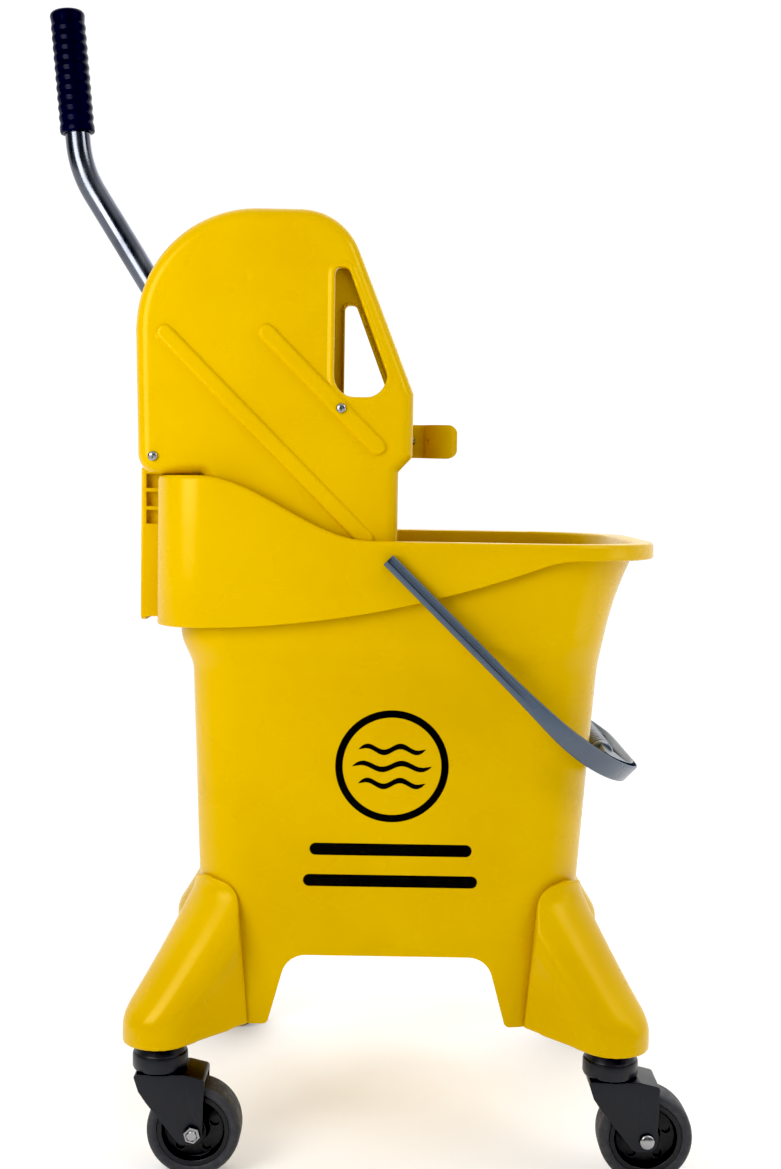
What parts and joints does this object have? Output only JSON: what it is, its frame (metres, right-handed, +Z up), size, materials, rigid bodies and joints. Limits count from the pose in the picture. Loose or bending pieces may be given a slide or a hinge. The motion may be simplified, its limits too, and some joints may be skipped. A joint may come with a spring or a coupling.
{
  "type": "mop bucket with wringer",
  "caption": "Yellow mop bucket on swivel casters with a bail handle and a lift-off down-press wringer worked by a bent lever.",
  "frame": {"origin": "middle of the whole object's bounding box, on the floor under the casters", "axes": "+X from the wringer towards the pouring lip, +Y across to the far side, +Z up"},
  "size_m": [0.5508, 0.38, 0.9582],
  "materials": {
    "yellow_plastic": "semi-gloss moulded",
    "bluegrey_plastic": "satin moulded",
    "grip_grey": "satin moulded",
    "navy_grip": "satin moulded",
    "caster_grey": "satin painted pressed steel",
    "tyre_rubber": "matte rubber",
    "hub_black": "satin moulded",
    "gear_grey": "satin moulded",
    "zinc_steel": "zinc plated",
    "chrome_tube": "bright plated"
  },
  "bodies": {
    "bucket_body": {"bucket": "yellow_plastic", "leg_cover_rear_near": "yellow_plastic", "leg_cover_rear_far": "yellow_plastic", "leg_cover_front_near": "yellow_plastic", "leg_cover_front_far": "yellow_plastic", "caster_cup_rear_near": "caster_grey", "caster_cup_rear_far": "caster_grey", "caster_cup_front_near": "caster_grey", "caster_cup_front_far": "caster_grey"},
    "wringer": {"cheek_near": "yellow_plastic", "cheek_far": "yellow_plastic", "rear_cover": "yellow_plastic", "rear_apron": "yellow_plastic", "basket": "yellow_plastic", "mop_clip": "yellow_plastic", "clip_screw_near": "zinc_steel", "clip_screw_far": "zinc_steel", "cheek_screw_upper_near": "zinc_steel", "cheek_screw_upper_far": "zinc_steel", "cheek_screw_lower_near": "zinc_steel", "cheek_screw_lower_far": "zinc_steel", "rack_roller_near": "grip_grey", "rack_roller_far": "grip_grey", "return_spring": "zinc_steel"},
    "lever": {"lever_axle": "zinc_steel", "sector_gear_near": "gear_grey", "sector_gear_far": "gear_grey", "lever_socket": "gear_grey", "lever_tube": "chrome_tube", "lever_grip": "navy_grip", "lever_bolt_1": "zinc_steel", "lever_bolt_2": "zinc_steel"},
    "press": {"press_plate": "yellow_plastic", "rack_near": "gear_grey", "rack_far": "gear_grey"},
    "bail": {"bail_handle": "bluegrey_plastic", "bail_grip": "bluegrey_plastic"},
    "caster_rear_near": {"fork_rear_near": "caster_grey", "axle_bolt_rear_near": "zinc_steel", "axle_nut_rear_near": "zinc_steel"},
    "wheel_rear_near": {"tyre_rear_near": "tyre_rubber", "wheel_hub_rear_near": "hub_black"},
    "caster_rear_far": {"fork_rear_far": "caster_grey", "axle_bolt_rear_far": "zinc_steel", "axle_nut_rear_far": "zinc_steel"},
    "wheel_rear_far": {"tyre_rear_far": "tyre_rubber", "wheel_hub_rear_far": "hub_black"},
    "caster_front_near": {"fork_front_near": "caster_grey", "axle_bolt_front_near": "zinc_steel", "axle_nut_front_near": "zinc_steel"},
    "wheel_front_near": {"tyre_front_near": "tyre_rubber", "wheel_hub_front_near": "hub_black"},
    "caster_front_far": {"fork_front_far": "caster_grey", "axle_bolt_front_far": "zinc_steel", "axle_nut_front_far": "zinc_steel"},
    "wheel_front_far": {"tyre_front_far": "tyre_rubber", "wheel_hub_front_far": "hub_black"}
  },
  "joints": [
    {"name": "wringer_lift", "type": "slide", "parent": "bucket_body", "child": "wringer", "axis": [0, 0, 1], "range_m": [0, 0.12]},
    {"name": "lever_hinge", "type": "hinge", "parent": "wringer", "child": "lever", "pos_m": [-0.1195, 0, 0.6176], "axis": [0, 1, 0], "range_deg": [0, 85], "stiffness_Nm_per_rad": 1.2, "springref_deg": -45.84},
    {"name": "press_slide", "type": "slide", "parent": "wringer", "child": "press", "axis": [0.7071, 0, -0.7071], "range_m": [0, 0.082]},
    {"name": "bail_hinge", "type": "hinge", "parent": "bucket_body", "child": "bail", "pos_m": [0.0313, 0, 0.4886], "axis": [0, -1, 0], "range_deg": [0, 110]},
    {"name": "swivel_rear_near", "type": "hinge", "parent": "bucket_body", "child": "caster_rear_near", "pos_m": [-0.1495, -0.165, 0.085], "axis": [0, 0, 1], "continuous": true},
    {"name": "wheel_spin_rear_near", "type": "hinge", "parent": "caster_rear_near", "child": "wheel_rear_near", "pos_m": [-0.1215, -0.165, 0.0375], "axis": [0, 1, 0], "continuous": true},
    {"name": "swivel_rear_far", "type": "hinge", "parent": "bucket_body", "child": "caster_rear_far", "pos_m": [-0.1495, 0.165, 0.085], "axis": [0, 0, 1], "continuous": true},
    {"name": "wheel_spin_rear_far", "type": "hinge", "parent": "caster_rear_far", "child": "wheel_rear_far", "pos_m": [-0.1215, 0.165, 0.0375], "axis": [0, 1, 0], "continuous": true},
    {"name": "swivel_front_near", "type": "hinge", "parent": "bucket_body", "child": "caster_front_near", "pos_m": [0.2105, -0.165, 0.085], "axis": [0, 0, 1], "continuous": true},
    {"name": "wheel_spin_front_near", "type": "hinge", "parent": "caster_front_near", "child": "wheel_front_near", "pos_m": [0.2385, -0.165, 0.0375], "axis": [0, 1, 0], "continuous": true},
    {"name": "swivel_front_far", "type": "hinge", "parent": "bucket_body", "child": "caster_front_far", "pos_m": [0.2105, 0.165, 0.085], "axis": [0, 0, 1], "continuous": true},
    {"name": "wheel_spin_front_far", "type": "hinge", "parent": "caster_front_far", "child": "wheel_front_far", "pos_m": [0.2385, 0.165, 0.0375], "axis": [0, 1, 0], "continuous": true}
  ],
  "couplings": [
    {"joint": "press_slide", "follows": "lever_hinge", "m_per_rad": 0.055}
  ]
}
